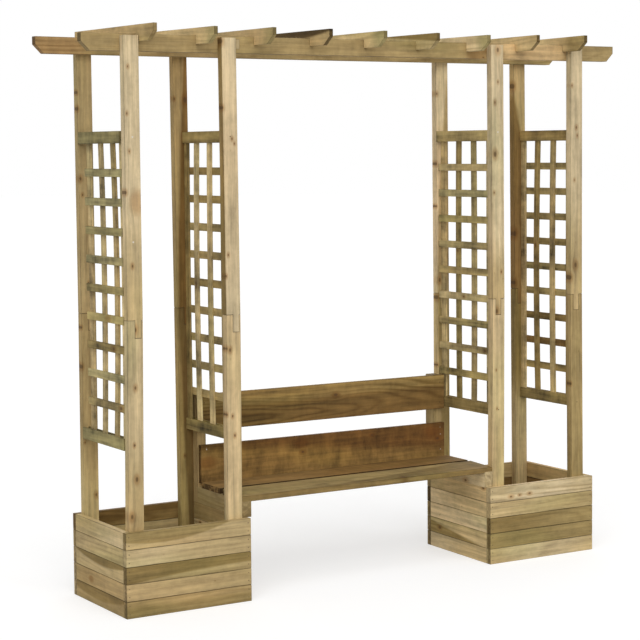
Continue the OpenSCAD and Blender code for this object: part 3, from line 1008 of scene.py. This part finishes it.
bright = Screws("screws", "bench_boards")
worn = Screws("screws_dull", "bench_boards")
back_face = box("back_board_lower")[0][1]
for x, z, size in LOWER_BACK_SCREWS:
    bright.add((x, back_face, z), TO_FRONT, size)
for x in UPPER_BACK_X:
    for z in UPPER_BACK_Z:
        worn.add((x, back_face, z), TO_FRONT, SMALL)
seat_front_y = box("seat_board_front")[0][1]
seat_joint_y, seat_top = box("seat_board_front")[1][1:]
for x in SEAT_X:
    for y in SEAT_Y:
        dip = SEAT_DIP * max(0.0, (seat_joint_y - y) / (seat_joint_y - seat_front_y))
        worn.add((x, y, seat_top - dip), UPWARD, SMALL)
bright.done(ZINC)
worn.done(RUSTY)

bright_on_posts = Screws("screws_posts", "post_timber")
worn_on_posts = Screws("screws_posts_dull", "post_timber")
post_front = box("post_left_outer_front")[0][1]
post_back = box("post_left_outer_back")[1][1]
for x, z in BRIGHT_POST_SCREWS:
    bright_on_posts.add((x, post_front, z), TO_FRONT)
for x, z in WORN_POST_SCREWS:
    worn_on_posts.add((x, post_front, z), TO_FRONT, SMALL)
for x in POST_BACK_X:
    for z in POST_BACK_Z:
        worn_on_posts.add((x, post_back, z), TO_BACK)
bright_on_posts.done(ZINC)
worn_on_posts.done(RUSTY)

# Floor and light


def floor(radius, grey, glow_level):
    """A white floor that keeps the shadow of the pergola."""
    bm = bmesh.new()
    bmesh.ops.create_circle(bm, cap_ends=True, radius=radius, segments=96)
    mesh = bpy.data.meshes.new("floor")
    bm.to_mesh(mesh)
    bm.free()
    obj = bpy.data.objects.new("floor", mesh)
    bpy.context.scene.collection.objects.link(obj)
    mat = bpy.data.materials.new("floor")
    mat.use_nodes = True
    nodes, links = mat.node_tree.nodes, mat.node_tree.links
    nodes.clear()
    diffuse = nodes.new("ShaderNodeBsdfDiffuse")
    diffuse.inputs[0].default_value = (grey, grey, grey, 1)
    glow = nodes.new("ShaderNodeEmission")
    ray = nodes.new("ShaderNodeLightPath")
    seen = nodes.new("ShaderNodeMath")
    seen.operation = "MAXIMUM"
    links.new(ray.outputs["Is Camera Ray"], seen.inputs[0])
    links.new(ray.outputs["Is Glossy Ray"], seen.inputs[1])
    level = nodes.new("ShaderNodeMath")
    level.operation = "MULTIPLY"
    links.new(seen.outputs[0], level.inputs[0])
    level.inputs[1].default_value = glow_level
    links.new(level.outputs[0], glow.inputs["Strength"])
    both = nodes.new("ShaderNodeAddShader")
    links.new(diffuse.outputs[0], both.inputs[0])
    links.new(glow.outputs[0], both.inputs[1])
    out = nodes.new("ShaderNodeOutputMaterial")
    links.new(both.outputs[0], out.inputs[0])
    mesh.materials.append(mat)


def world(level):
    """Even light from all round, seen as white."""
    scene_world = bpy.data.worlds.new("studio")
    bpy.context.scene.world = scene_world
    scene_world.use_nodes = True
    nodes, links = scene_world.node_tree.nodes, scene_world.node_tree.links
    nodes.clear()
    lit, shown = nodes.new("ShaderNodeBackground"), nodes.new("ShaderNodeBackground")
    lit.inputs[0].default_value = (1.0, 0.99, 0.97, 1)
    lit.inputs[1].default_value = level
    shown.inputs[0].default_value = (1, 1, 1, 1)
    shown.inputs[1].default_value = 1.0
    ray = nodes.new("ShaderNodeLightPath")
    first, second = nodes.new("ShaderNodeMath"), nodes.new("ShaderNodeMath")
    first.operation = second.operation = "MAXIMUM"
    links.new(ray.outputs["Is Camera Ray"], first.inputs[0])
    links.new(ray.outputs["Is Glossy Ray"], first.inputs[1])
    links.new(first.outputs[0], second.inputs[0])
    links.new(ray.outputs["Is Transmission Ray"], second.inputs[1])
    mix = nodes.new("ShaderNodeMixShader")
    links.new(second.outputs[0], mix.inputs[0])
    links.new(lit.outputs[0], mix.inputs[1])
    links.new(shown.outputs[0], mix.inputs[2])
    out = nodes.new("ShaderNodeOutputWorld")
    links.new(mix.outputs[0], out.inputs[0])


def sun(name, toward, strength, spread, tint=NO_TINT):
    """A sun that stands toward a direction, with its spread in degrees."""
    lamp = bpy.data.lights.new(name, "SUN")
    lamp.color = tint
    lamp.energy = strength
    lamp.angle = math.radians(spread)
    obj = bpy.data.objects.new(name, lamp)
    bpy.context.scene.collection.objects.link(obj)
    obj.rotation_euler = Vector(toward).to_track_quat("Z", "Y").to_euler()


floor(radius=60.0, grey=0.6, glow_level=0.5)
world(level=0.43)
sun("key", toward=(-0.25, -0.72, 0.65), strength=1.84, spread=70.0)
sun("fill", toward=(-0.8, -0.5, 0.12), strength=0.58, spread=100.0, tint=(0.93, 1.0, 1.12))
sun("back", toward=(0.55, 0.82, 0.15), strength=0.9, spread=60.0)
bpy.context.scene.view_settings.view_transform = "Standard"

# Camera, as fitted to the photograph

SENSOR = 36.0
PICTURE = 640.0
FOCAL_PX = 1866.4
SHIFT_Y = -0.0547
FAR_CLIP = 200.0
CAMERA_AT = (-3.7317, -5.9991, 1.6087)
CAMERA_TURN = (85.858, 0.495, -31.288)
camera_data = bpy.data.cameras.new("camera")
camera_data.sensor_width = SENSOR
camera_data.lens = FOCAL_PX * SENSOR / PICTURE
camera_data.shift_y = SHIFT_Y
camera_data.clip_end = FAR_CLIP
camera = bpy.data.objects.new("camera", camera_data)
bpy.context.scene.collection.objects.link(camera)
camera.location = CAMERA_AT
camera.rotation_euler = [math.radians(a) for a in CAMERA_TURN]
bpy.context.scene.camera = camera

bpy.context.view_layer.update()
